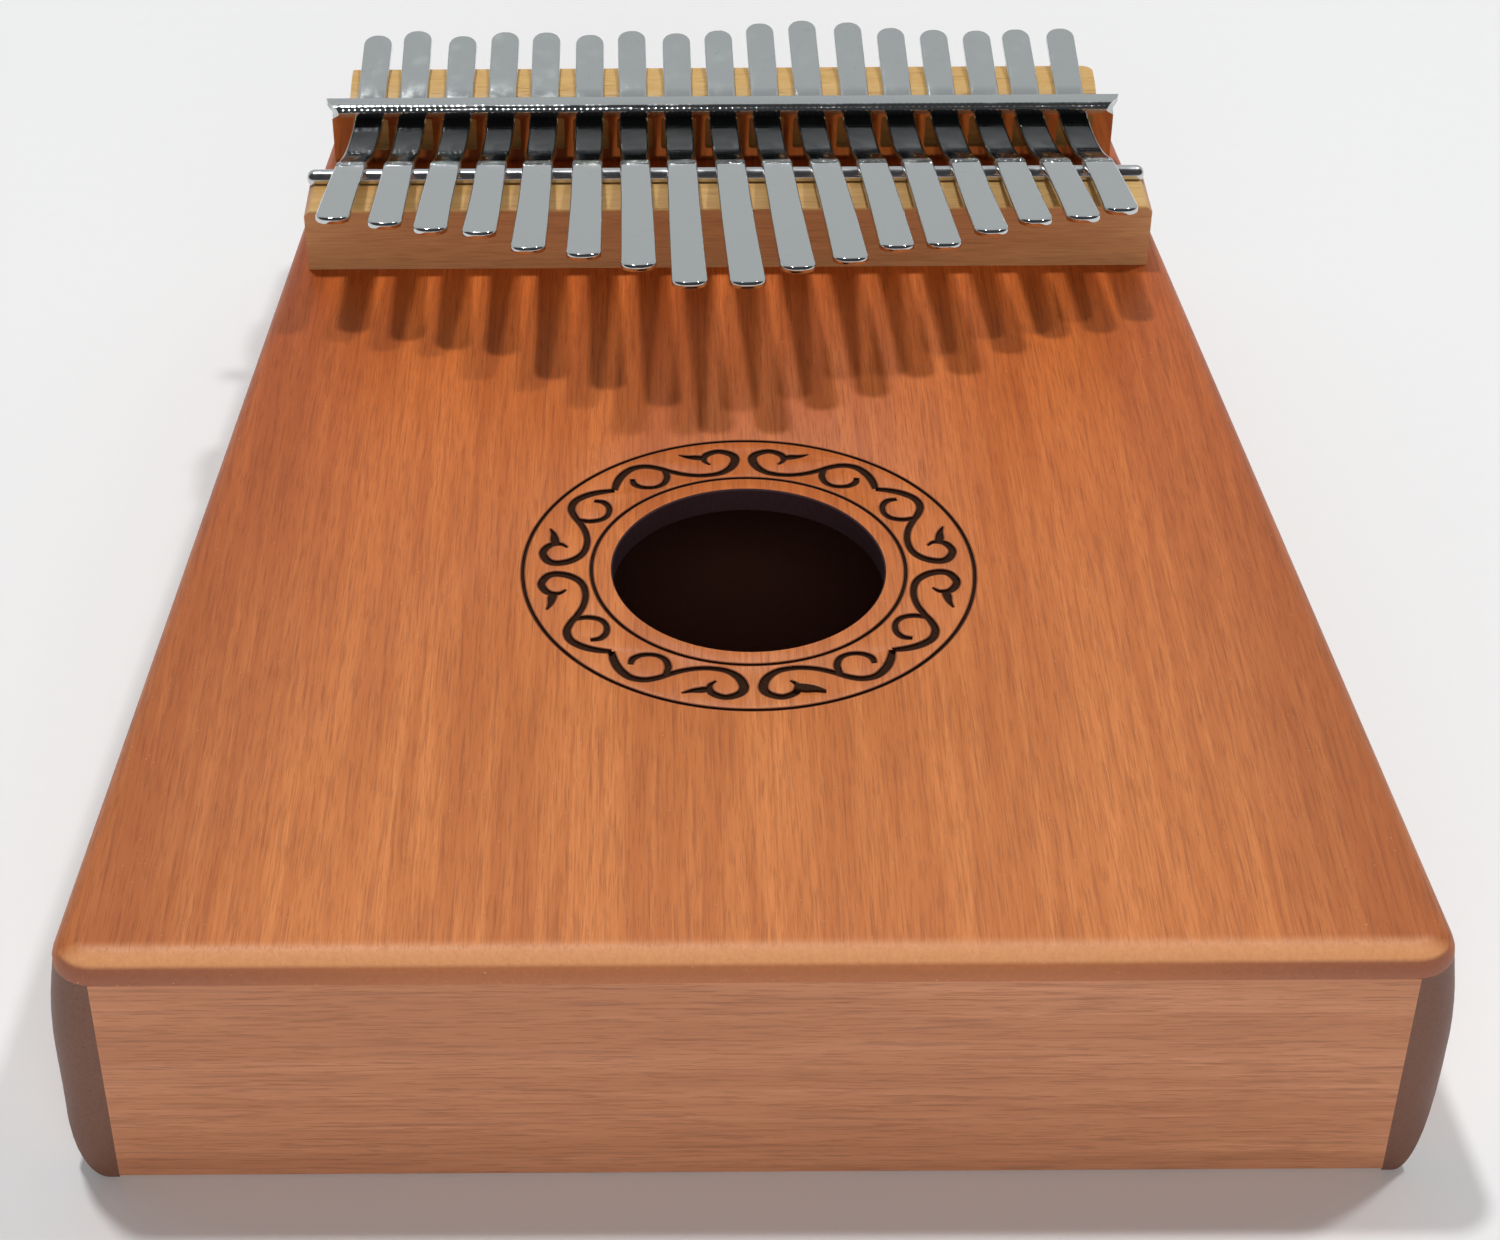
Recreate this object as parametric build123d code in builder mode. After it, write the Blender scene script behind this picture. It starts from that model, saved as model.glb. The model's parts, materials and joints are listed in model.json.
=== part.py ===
from build123d import *
import math
import os

# A box thumb piano: a hollow wooden body with a sound hole, and seventeen sprung steel
# tines held down by a bracket between two wooden bridges.
# +X runs across the instrument, +Y from the player towards the tines' tails, +Z up.
# The origin is on the underside, at the middle of the body's length and width.
# Millimetres throughout.

os.makedirs("parts", exist_ok=True)

# ---- body ----
body_length = 185.0
near_width = 135.0
far_width = 104.6
body_height = 29.4
top_thickness = 2.9
back_thickness = 3.0
side_thickness = 4.35
end_wall_thickness = 8.0
corner_radius = 4.5
top_edge_radius = 2.8
# each side's lower outer edge is planed to a quarter ellipse
side_round_width = 4.4
left_round_height = 9.5
right_round_height = 23.0
end_wall_edge_radius = 0.4

frame_height = body_height - top_thickness
# the sides swell out below the top plate: height, and how far beyond the plate's edge
widest_swell = 1.2
side_swell = (
    (0.0, widest_swell),
    (7.5, widest_swell),
    (15.0, widest_swell),
    (21.5, 0.8),
    (25.0, 0.25),
    (frame_height, 0.0),
)
side_taper = (near_width - far_width) / 2 / body_length

# ---- sound hole and its engraved rings ----
sound_hole_x = 1.0
sound_hole_y = -30.2
sound_hole_radius = 15.1
sound_hole_chamfer = 0.15
inner_ring_radius = 17.4
outer_ring_radius = 25.0
ring_width = 0.5
ring_depth = 0.3

# ---- block glued inside, under the bridges ----
support_width = 92.0
support_near_y = 36.0
support_height = 13.0

# ---- front bridge and the steel rod on it ----
front_bridge_length = 107.5
front_bridge_depth = 10.8
front_bridge_height = 8.55
front_bridge_y = 40.1
bridge_end_chamfer = 0.8
bridge_edge_radius = 0.35
rod_radius = 1.1
rod_length = 107.4
rod_x = -0.2
rod_dome_radius = 0.95
rod_y = 42.3
rod_height = 9.05
contact_clearance = 0.02

# ---- pressed steel bracket ----
sheet_thickness = 0.9
bracket_x = -0.15
bracket_y = 62.3
bracket_height = 8.6
bracket_width = 104.9
bracket_foot = 10.6
bracket_lip = 2.9
bracket_lip_overhang = 0.9
bracket_lip_slant = 1.8
bracket_inner_bend = 0.2
window_width = 4.75
window_low = 2.25
window_high = 6.87
window_corner = 0.4

# ---- rear bridge ----
rear_bridge_length = 101.2
rear_bridge_near_y = 65.0
rear_bridge_depth = 8.8
rear_bridge_height = 8.4
rear_bridge_crest_y = 73.0
rear_bridge_crown_radius = 13.6
rear_bridge_left_corner = 0.3
rear_bridge_right_corner = 1.6

# ---- screws that hold the bracket ----
screw_places = (-44.0, -15.0, 15.0, 44.0)
screw_y = 69.4
screw_radius = 1.5
screw_length = 13.0
screw_head_radius = 2.8
screw_head_height = 1.7
screw_head_rounding = 0.85
screw_slot_length = 3.6
screw_slot_width = 0.8
screw_slot_depth = 0.9
screw_hole_clearance = 0.1
head_pocket_radius = 3.3
head_pocket_height = 2.4

# ---- tines ----
tine_thickness = 0.9
tine_width = 3.85
tine_tip_width = 4.25
tine_corner_radius = 1.75
tine_tail_radius = 1.5
tine_pitch = 5.92
tongue_rise = 0.166
shank_fall = 0.44
window_slope = 0.0
rear_slope = 0.3
# Length of each playing tongue from the rod to its tip, left to right: its note.
tongue_lengths = (
    20.2, 22.1, 24.2, 25.5, 30.8, 33.0, 36.7, 42.3, 42.4,
    37.6, 35.0, 30.9, 30.3, 25.8, 22.4, 21.3, 18.6,
)
# How far back each tail reaches, left to right: each tine is tapped in or out to tune it.
tail_ends = (
    78.5, 79.3, 78.3, 79.0, 78.9, 78.4, 79.1, 78.6, 79.1,
    80.4, 80.9, 80.5, 79.4, 79.0, 78.8, 79.0, 79.1,
)
# How each tine sits in its window by hand: degrees turned, and millimetres off the middle.
tine_leans = (
    -1.6, -0.4, -0.9, -0.7, -0.25, 0.4, 1.05, 0.85, 1.6,
    1.9, 2.35, 2.05, 1.95, 2.35, 2.3, 2.9, 1.8,
)
tine_nudges = (
    -0.17, -0.36, -0.17, -0.23, -0.36, -0.16, -0.16, 0.0, 0.04,
    -0.02, 0.04, 0.3, 0.2, 0.25, 0.2, -0.15, -0.23,
)
tine_count = len(tongue_lengths)
middle_tine = (tine_count - 1) / 2


def half_width(y):
    """Half the body's width at a place along its length."""
    return near_width / 2 - side_taper * (y + body_length / 2)


def finish(builder, name):
    """Labels a finished piece and writes its file."""
    builder.part.label = name
    export_step(builder.part, f"parts/{name}.step")


def wall_outline(inset, near_y, far_y):
    """Corners of the body's tapered outline, set in by a wall's thickness."""
    near_half = half_width(near_y) - inset
    far_half = half_width(far_y) - inset
    return [(-near_half, near_y), (near_half, near_y), (far_half, far_y), (-far_half, far_y)]


def rounded_block(floor, height):
    """A slab of the body's whole outline, with its four upright corners eased."""
    with BuildPart() as block:
        with BuildSketch(Plane.XY.offset(floor)):
            Polygon(*wall_outline(0, -body_length / 2, body_length / 2), align=None)
        extrude(amount=height)
        fillet(block.edges().filter_by(Axis.Z), corner_radius)
    return block.part


def swollen_block():
    """The outline below the top plate, wider at middle height, with its four corners eased."""
    with BuildPart() as block:
        for height, swell in side_swell:
            with BuildSketch(Plane.XY.offset(height)) as outline:
                Polygon(*wall_outline(-swell, -body_length / 2, body_length / 2), align=None)
                fillet(outline.vertices(), corner_radius)
        loft()
    return block.part


# ---- top plate: covers the whole frame, rounded over all round ----
with BuildPart() as top_plate:
    add(rounded_block(frame_height, top_thickness))
    fillet(top_plate.faces().sort_by(Axis.Z)[-1].outer_wire().edges(), top_edge_radius)
    with Locations((sound_hole_x, sound_hole_y, body_height)):
        Hole(sound_hole_radius)
    rim_edges = top_plate.edges().filter_by(GeomType.CIRCLE)
    rim_edges = rim_edges.filter_by(lambda edge: abs(edge.radius - sound_hole_radius) < 0.01)
    chamfer(rim_edges, sound_hole_chamfer)
    # two fine engraved rings round the hole
    with BuildSketch(Plane.XY.offset(body_height)):
        with Locations((sound_hole_x, sound_hole_y)):
            Circle(outer_ring_radius + ring_width / 2)
            Circle(outer_ring_radius - ring_width / 2, mode=Mode.SUBTRACT)
            Circle(inner_ring_radius + ring_width / 2)
            Circle(inner_ring_radius - ring_width / 2, mode=Mode.SUBTRACT)
    extrude(amount=-ring_depth, mode=Mode.SUBTRACT)
    # clearance holes for the bracket's screws
    with Locations(*[(x, screw_y, body_height) for x in screw_places]):
        Hole(screw_radius + screw_hole_clearance)
finish(top_plate, "top_plate")


# ---- back plate: let in between the four walls, flush with their undersides ----
with BuildPart() as back_plate:
    with BuildSketch(Plane.XY):
        near_y = -body_length / 2 + end_wall_thickness
        far_y = body_length / 2 - end_wall_thickness
        Polygon(*wall_outline(side_thickness, near_y, far_y), align=None)
    extrude(amount=back_thickness)
finish(back_plate, "back_plate")


def side_wall(sign, round_height):
    """A long side of the box; its end grain shows at both ends of the body."""
    near_x = sign * (near_width / 2 + widest_swell)
    inner_x = sign * (near_width / 2 - side_thickness)
    round_x = near_x - sign * side_round_width
    far_shift = sign * (far_width - near_width) / 2
    with BuildPart() as wall:
        with BuildSketch(Plane.XZ.offset(body_length / 2)):
            with BuildLine():
                EllipticalCenterArc(
                    (round_x, round_height),
                    side_round_width,
                    round_height,
                    start_angle=270 if sign > 0 else 180,
                    arc_size=90,
                )
                Polyline(
                    (near_x, round_height),
                    (near_x, frame_height),
                    (inner_x, frame_height),
                    (inner_x, 0),
                    (round_x, 0),
                )
            make_face()
        extrude(amount=math.hypot(body_length, far_shift), dir=(far_shift, body_length, 0))
        add(swollen_block(), mode=Mode.INTERSECT)
    return wall


left_side = side_wall(-1, left_round_height)
finish(left_side, "left_side")
right_side = side_wall(1, right_round_height)
finish(right_side, "right_side")


def end_wall(near_y, far_y, outer_y):
    """An end of the box, between the two sides, with its outer bottom edge eased."""
    with BuildPart() as wall:
        with BuildSketch(Plane.XY):
            Polygon(*wall_outline(side_thickness, near_y, far_y), align=None)
        extrude(amount=frame_height)
        bottom = wall.faces().sort_by(Axis.Z)[0]
        outer_edge = bottom.edges().sort_by(lambda edge: abs(edge.center().Y - outer_y))[0]
        fillet(outer_edge, end_wall_edge_radius)
    return wall


near_end_wall = end_wall(-body_length / 2, -body_length / 2 + end_wall_thickness, -body_length / 2)
finish(near_end_wall, "near_end_wall")
far_end_wall = end_wall(body_length / 2 - end_wall_thickness, body_length / 2, body_length / 2)
finish(far_end_wall, "far_end_wall")


# ---- support block: glued under the top plate, takes the bracket's screws ----
with BuildPart() as bridge_support_block:
    with BuildSketch(Plane.XY.offset(frame_height)):
        support_far_y = body_length / 2 - end_wall_thickness
        with Locations((0, (support_near_y + support_far_y) / 2)):
            Rectangle(support_width, support_far_y - support_near_y)
    extrude(amount=-support_height)
    with Locations(*[(x, screw_y, frame_height) for x in screw_places]):
        Hole(screw_radius, depth=screw_length)
finish(bridge_support_block, "bridge_support_block")


# ---- front bridge: hardwood bar, grooved along its top for the rod ----
with BuildPart() as front_bridge:
    with BuildSketch(Plane.XY.offset(body_height)):
        with Locations((0, front_bridge_y)):
            Rectangle(front_bridge_length, front_bridge_depth)
    extrude(amount=front_bridge_height)
    end_edges = front_bridge.faces().sort_by(Axis.Z)[-1].edges().filter_by(Axis.Y)
    chamfer(end_edges, bridge_end_chamfer)
    long_edges = front_bridge.faces().sort_by(Axis.Z)[-1].edges().filter_by(Axis.X)
    fillet(long_edges, bridge_edge_radius)
    with BuildSketch(Plane.YZ):
        with Locations((rod_y, body_height + rod_height)):
            Circle(rod_radius + contact_clearance)
    extrude(amount=front_bridge_length / 2, both=True, mode=Mode.SUBTRACT)
finish(front_bridge, "front_bridge")


# ---- steel rod: the fret that every tine bends over ----
with BuildPart() as front_bridge_rod:
    with BuildSketch(Plane.YZ.offset(rod_x)):
        with Locations((rod_y, body_height + rod_height)):
            Circle(rod_radius)
    extrude(amount=rod_length / 2, both=True)
    fillet(front_bridge_rod.edges().filter_by(GeomType.CIRCLE), rod_dome_radius)
finish(front_bridge_rod, "front_bridge_rod")


def window_x(index):
    """Middle of a tine's window, across the instrument."""
    return bracket_x + (index - middle_tine) * tine_pitch


def tine_x(index, y):
    """Where a tine's centre line crosses a line across the instrument."""
    lean = math.radians(tine_leans[index])
    return window_x(index) + tine_nudges[index] - math.tan(lean) * (y - bracket_y)


# ---- bracket: one bent sheet; foot under the rear bridge, web with a window per tine ----
with BuildPart() as bracket:
    with BuildSketch(Plane.YZ.offset(bracket_x)):
        with BuildLine():
            FilletPolyline(
                (bracket_y + bracket_foot, body_height),
                (bracket_y, body_height),
                (bracket_y, body_height + bracket_height),
                (bracket_y + bracket_lip, body_height + bracket_height),
                radius=bracket_inner_bend + sheet_thickness,
            )
            Line(
                (bracket_y + bracket_lip, body_height + bracket_height),
                (bracket_y + bracket_lip, body_height + bracket_height - sheet_thickness),
            )
            FilletPolyline(
                (bracket_y + bracket_lip, body_height + bracket_height - sheet_thickness),
                (bracket_y + sheet_thickness, body_height + bracket_height - sheet_thickness),
                (bracket_y + sheet_thickness, body_height + sheet_thickness),
                (bracket_y + bracket_foot, body_height + sheet_thickness),
                radius=bracket_inner_bend,
            )
            Line(
                (bracket_y + bracket_foot, body_height + sheet_thickness),
                (bracket_y + bracket_foot, body_height),
            )
        make_face()
    extrude(amount=bracket_width / 2 + bracket_lip_overhang, both=True)
    # below the lip the sheet is a little narrower, and the lip's front corners are slanted
    trim_height = bracket_height - sheet_thickness - bracket_inner_bend
    trim_length = 2 * (bracket_foot + bracket_lip_slant)
    for sign in (-1, 1):
        lip_end = bracket_x + sign * (bracket_width / 2 + bracket_lip_overhang)
        with BuildSketch(Plane.XY.offset(body_height)):
            with Locations((lip_end, bracket_y)):
                Rectangle(2 * bracket_lip_overhang, trim_length)
        extrude(amount=trim_height, mode=Mode.SUBTRACT)
        with BuildSketch(Plane.XY.offset(body_height + trim_height)):
            Polygon(
                (lip_end, bracket_y - bracket_lip),
                (lip_end, bracket_y + bracket_lip_slant),
                (lip_end - sign * bracket_lip_slant, bracket_y),
                (lip_end - sign * bracket_lip_slant, bracket_y - bracket_lip),
                align=None,
            )
        extrude(amount=bracket_height - trim_height, mode=Mode.SUBTRACT)
    # the windows
    with BuildSketch(Plane.XZ.offset(-bracket_y)):
        for index in range(tine_count):
            window_middle = body_height + (window_low + window_high) / 2
            with Locations((window_x(index), window_middle)):
                RectangleRounded(window_width, window_high - window_low, window_corner)
    extrude(amount=-sheet_thickness, mode=Mode.SUBTRACT)
    with Locations(*[(x, screw_y, body_height + sheet_thickness) for x in screw_places]):
        Hole(screw_radius + screw_hole_clearance, depth=sheet_thickness)
finish(bracket, "bracket")


# ---- screws: pan heads on the bracket's foot, threads in the support block ----
with BuildPart() as bracket_screws:
    foot_top = body_height + sheet_thickness
    with BuildSketch(Plane.XY.offset(foot_top)):
        with Locations(*[(x, screw_y) for x in screw_places]):
            Circle(screw_head_radius)
    extrude(amount=screw_head_height)
    fillet(bracket_screws.faces().group_by(Axis.Z)[-1].edges(), screw_head_rounding)
    with BuildSketch(Plane.XY.offset(foot_top + screw_head_height)):
        with Locations(*[(x, screw_y) for x in screw_places]):
            Rectangle(screw_slot_length, screw_slot_width)
            Rectangle(screw_slot_width, screw_slot_length)
    extrude(amount=-screw_slot_depth, mode=Mode.SUBTRACT)
    with BuildSketch(Plane.XY.offset(foot_top)):
        with Locations(*[(x, screw_y) for x in screw_places]):
            Circle(screw_radius)
    extrude(amount=-screw_length)
finish(bracket_screws, "bracket_screws")


# ---- rear bridge: hardwood bar on the bracket's foot, its top rounded down to the bracket ----
with BuildPart() as rear_bridge:
    far_y = rear_bridge_near_y + rear_bridge_depth
    crest = body_height + rear_bridge_height
    crown_centre = crest - rear_bridge_crown_radius
    nose_run = rear_bridge_crest_y - rear_bridge_near_y
    nose_height = crown_centre + math.sqrt(rear_bridge_crown_radius**2 - nose_run**2)
    nose = (rear_bridge_near_y, nose_height)
    with BuildSketch(Plane.YZ):
        with BuildLine():
            Line((rear_bridge_near_y, body_height + sheet_thickness), nose)
            RadiusArc(nose, (rear_bridge_crest_y, crest), rear_bridge_crown_radius)
            Polyline(
                (rear_bridge_crest_y, crest),
                (far_y, crest),
                (far_y, body_height),
                (bracket_y + bracket_foot, body_height),
                (bracket_y + bracket_foot, body_height + sheet_thickness),
                (rear_bridge_near_y, body_height + sheet_thickness),
            )
        make_face()
    extrude(amount=rear_bridge_length / 2, both=True)
    with BuildSketch(Plane.XY.offset(body_height + sheet_thickness)):
        with Locations(*[(x, screw_y) for x in screw_places]):
            Circle(head_pocket_radius)
    extrude(amount=head_pocket_height, mode=Mode.SUBTRACT)
    far_corners = rear_bridge.faces().sort_by(Axis.Y)[-1].edges().filter_by(Axis.Z)
    left_corner, right_corner = far_corners.sort_by(Axis.X)
    fillet(left_corner, rear_bridge_left_corner)
    fillet(right_corner, rear_bridge_right_corner)
finish(rear_bridge, "rear_bridge")


def tine_directions(index):
    """Unit vectors across and along a tine, seen from above."""
    lean = math.radians(tine_leans[index])
    across = Vector(math.cos(lean), math.sin(lean), 0)
    along = Vector(-math.sin(lean), math.cos(lean), 0)
    return across, along


def tongue(index):
    """The playing end of a tine: a flat strip that rises from the rod and flares to its tip."""
    across, along = tine_directions(index)
    rise = math.atan(tongue_rise)
    up = along * math.sin(rise) + Vector(0, 0, math.cos(rise))
    rod_centre = Vector(tine_x(index, rod_y), rod_y, body_height + rod_height)
    underside = Plane(rod_centre, x_dir=across, z_dir=up).offset(rod_radius + contact_clearance)
    length = tongue_lengths[index]
    with BuildPart() as piece:
        with BuildSketch(underside):
            Polygon(
                (-tine_width / 2, 0),
                (-tine_tip_width / 2, -length),
                (tine_tip_width / 2, -length),
                (tine_width / 2, 0),
                align=None,
            )
        extrude(amount=tine_thickness)
        tip_corners = piece.edges().filter_by(Axis(rod_centre, up)).sort_by(Axis(rod_centre, along))
        fillet(tip_corners[:2], tine_corner_radius)
    return piece


def shank_points(lift, tail_distance):
    """Points along one face of a shank, as distance behind the rod and height above the top.

    The steel bows from the rod down to the window's upper edge and up over the rear bridge.
    lift moves the points off the underside, square to the steel.
    """
    fall = math.atan(shank_fall)
    reach = rod_radius + contact_clearance
    at_rod = (reach * math.sin(fall), rod_height + reach * math.cos(fall))
    under_window = window_high - contact_clearance - tine_thickness
    at_window = (bracket_y + sheet_thickness / 2 - rod_y, under_window)
    climb = math.atan(rear_slope)
    crown = rear_bridge_crown_radius + contact_clearance
    at_bridge = (
        rear_bridge_crest_y - crown * math.sin(climb) - rod_y,
        rear_bridge_height - rear_bridge_crown_radius + crown * math.cos(climb),
    )
    slopes = (-shank_fall, window_slope, rear_slope)
    moved = []
    for (distance, height), slope in zip((at_rod, at_window, at_bridge), slopes):
        angle = math.atan(slope)
        moved.append((distance - lift * math.sin(angle), height + lift * math.cos(angle)))
    last_distance, last_height = moved[-1]
    tail_height = last_height + rear_slope * (tail_distance - last_distance)
    return moved, (tail_distance, tail_height), [(1, slope) for slope in slopes]


def shank(index):
    """The clamped part of a tine, from the rod through its window to its tail."""
    across, along = tine_directions(index)
    foot = Vector(tine_x(index, rod_y), rod_y, body_height)
    tail_distance = tail_ends[index] - rod_y
    low, low_tail, tangents = shank_points(0, tail_distance)
    high, high_tail, tangents = shank_points(tine_thickness, tail_distance)
    with BuildPart() as piece:
        with BuildSketch(Plane(foot, x_dir=along, z_dir=across)):
            with BuildLine():
                Spline(*low, tangents=tangents)
                Line(low[-1], low_tail)
                Line(low_tail, high_tail)
                Line(high_tail, high[-1])
                Spline(*high, tangents=tangents)
                Line(high[0], low[0])
            make_face()
        extrude(amount=tine_width / 2, both=True)
        with BuildSketch(Plane(foot, x_dir=across, z_dir=(0, 0, 1))):
            with BuildLine():
                FilletPolyline(
                    (-tine_width / 2, -tine_width),
                    (-tine_width / 2, tail_distance),
                    (tine_width / 2, tail_distance),
                    (tine_width / 2, -tine_width),
                    radius=tine_tail_radius,
                )
                Line((tine_width / 2, -tine_width), (-tine_width / 2, -tine_width))
            make_face()
        extrude(amount=body_height, mode=Mode.INTERSECT)
    return piece


for index in range(tine_count):
    number = f"{index + 1:02d}"
    finish(tongue(index), f"tine_{number}_tongue")
    finish(shank(index), f"tine_{number}_shank")
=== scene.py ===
import bmesh
import bpy
import json
import math
import random
from mathutils import Matrix, Vector


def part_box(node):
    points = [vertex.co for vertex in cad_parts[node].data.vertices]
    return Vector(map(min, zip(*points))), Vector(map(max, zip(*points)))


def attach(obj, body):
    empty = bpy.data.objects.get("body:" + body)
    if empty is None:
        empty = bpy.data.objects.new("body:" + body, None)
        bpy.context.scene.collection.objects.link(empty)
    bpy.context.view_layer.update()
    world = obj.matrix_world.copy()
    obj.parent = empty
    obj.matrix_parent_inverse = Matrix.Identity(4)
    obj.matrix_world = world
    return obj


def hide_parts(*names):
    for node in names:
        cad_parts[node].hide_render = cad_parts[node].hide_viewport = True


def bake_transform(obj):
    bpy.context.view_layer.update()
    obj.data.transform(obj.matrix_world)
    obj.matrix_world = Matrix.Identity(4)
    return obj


# Looks for the box thumb piano. Shapes are worked out in millimetres in the row frame
# (+X across, +Y from the player to the tails, +Z up) and turned into metres when a mesh is made.

MM = 0.001

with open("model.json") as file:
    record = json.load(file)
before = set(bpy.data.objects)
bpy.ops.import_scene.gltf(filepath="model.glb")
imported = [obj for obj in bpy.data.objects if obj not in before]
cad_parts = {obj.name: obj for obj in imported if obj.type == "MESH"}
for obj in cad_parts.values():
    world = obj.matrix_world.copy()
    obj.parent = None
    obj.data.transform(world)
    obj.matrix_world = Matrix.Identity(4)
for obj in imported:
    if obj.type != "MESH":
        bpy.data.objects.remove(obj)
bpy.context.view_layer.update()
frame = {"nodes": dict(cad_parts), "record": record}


def corners(node):
    """Lowest and highest corner of a CAD node, in millimetres."""
    low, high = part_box(node)
    return low / MM, high / MM


def mesh_points(node):
    """Every vertex of a CAD node, in millimetres."""
    return [vertex.co / MM for vertex in frame["nodes"][node].data.vertices]


# ---- places taken from the frame ----
plate_low, plate_high = corners("top_plate")
body_top = plate_high.z
frame_top = plate_low.z
near_y = plate_low.y
far_y = plate_high.y
rod_low, rod_high = corners("front_bridge_rod")
rod_centre = (rod_low + rod_high) / 2
rod_radius = (rod_high.z - rod_low.z) / 2
bracket_low, bracket_high = corners("bracket")
front_bridge_top = corners("front_bridge")[1].z
rear_bridge_top = corners("rear_bridge")[1].z
back_top = corners("back_plate")[1].z
tine_count = sum(1 for name in frame["nodes"] if name.endswith("_tongue"))
hole_mount = next(mount for mount in frame["record"]["mounts"] if mount["name"] == "sound_hole")
hole_x = hole_mount["pos_m"][0] / MM
hole_y = hole_mount["pos_m"][1] / MM
bracket_x = (bracket_low.x + bracket_high.x) / 2

# ---- sizes that the frame's boxes don't give ----
body_corner_radius = 4.5
top_edge_radius = 2.8
near_half_width = 67.5
far_half_width = 52.3
sound_hole_radius = 15.1
sound_hole_chamfer = 0.15
engraving_depth = 0.3
ring_radii = (17.4, 25.0)
ring_width = 0.45
scorch_width = 0.28
scorch_depth = 0.03
screw_places = (-44.0, -15.0, 15.0, 44.0)
screw_y = 69.4
screw_hole_radius = 1.6
sheet_thickness = 0.9
bracket_lip = 2.9
bracket_lip_overhang = 0.9
bracket_lip_slant = 1.8
bracket_bend = 0.2
# the press leaves a groove along the bracket's bend, and beads across it
bead_pitch = 0.85
groove_angle = 40.0
groove_width = 9.0
groove_depth = 0.10
bead_swell = 0.016
window_width = 4.75
window_low = 2.25
window_high = 6.87
window_corner = 0.4
tine_pitch = 5.92
tine_thickness = 0.9
tine_width = 3.85
tine_tip_width = 4.25
tine_end_radius = 1.75
tongue_slope = 0.166
shank_slope = 0.44
window_slope = 0.0
tail_slope = 0.3
rear_crown_radius = 13.6
rear_crest_y = 73.0
contact_clearance = 0.02
# each tine is bent a little by hand: sideways bow in millimetres, twist in degrees
most_bow = 0.12
most_twist = 0.8
side_taper = (near_half_width - far_half_width) / (far_y - near_y)


# ======== camera, light and floor ========

def make_camera():
    """The photograph's view: from the player's side, looking down on the instrument."""
    camera = bpy.data.objects.new("camera", bpy.data.cameras.new("camera"))
    bpy.context.scene.collection.objects.link(camera)
    camera.data.sensor_width = 36.0
    camera.data.lens = 70.7
    camera.data.shift_x = 0.0571
    camera.location = Vector((-8.18, -292.95, 223.14)) * MM
    turn = Matrix.Rotation(math.radians(0.036), 4, "Z")
    tilt = Matrix.Rotation(math.radians(90.0 - 37.42), 4, "X")
    roll = Matrix.Rotation(math.radians(-0.347), 4, "Z")
    camera.rotation_euler = (turn @ tilt @ roll).to_euler()
    camera.data.clip_start = 0.01
    bpy.context.scene.camera = camera


def soft_light(name, azimuth, elevation, spread, irradiance, distance=1.6, mirrored=True):
    """A round studio light, distance metres away. Angles are in degrees, azimuth from +Y towards +X.

    spread is how wide the light looks; a light that isn't mirrored shows in no glossy surface.
    """
    turn = math.radians(azimuth)
    lift = math.radians(elevation)
    level = math.cos(lift)
    direction = Vector((math.sin(turn) * level, math.cos(turn) * level, math.sin(lift)))
    data = bpy.data.lights.new(name, "AREA")
    data.shape = "DISK"
    data.size = 2 * distance * math.tan(math.radians(spread) / 2)
    data.energy = irradiance * math.pi * distance**2
    light = bpy.data.objects.new(name, data)
    bpy.context.scene.collection.objects.link(light)
    light.location = direction * distance + Vector((0, 0, body_top * MM))
    light.rotation_euler = direction.to_track_quat("Z", "Y").to_euler()
    light.visible_glossy = mirrored


def make_world():
    """Pale surroundings behind the instrument, dark ones overhead and on the player's side."""
    world = bpy.data.worlds.new("surroundings")
    world.use_nodes = True
    nodes = world.node_tree.nodes
    links = world.node_tree.links
    place = nodes.new("ShaderNodeTexCoord")
    parts = nodes.new("ShaderNodeSeparateXYZ")
    ramp = nodes.new("ShaderNodeValToRGB")
    shift = nodes.new("ShaderNodeMath")
    shift.operation = "MULTIPLY_ADD"
    shift.inputs[1].default_value = 0.5
    shift.inputs[2].default_value = 0.5
    ramp.color_ramp.elements[0].position = 0.575
    ramp.color_ramp.elements[0].color = (0.055, 0.055, 0.058, 1)
    ramp.color_ramp.elements[1].position = 0.70
    ramp.color_ramp.elements[1].color = (0.53, 0.545, 0.55, 1)
    links.new(place.outputs["Generated"], parts.inputs[0])
    links.new(parts.outputs["Y"], shift.inputs[0])
    links.new(shift.outputs[0], ramp.inputs["Fac"])
    links.new(ramp.outputs["Color"], nodes["Background"].inputs["Color"])
    bpy.context.scene.world = world


# ======== material helpers ========

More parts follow.
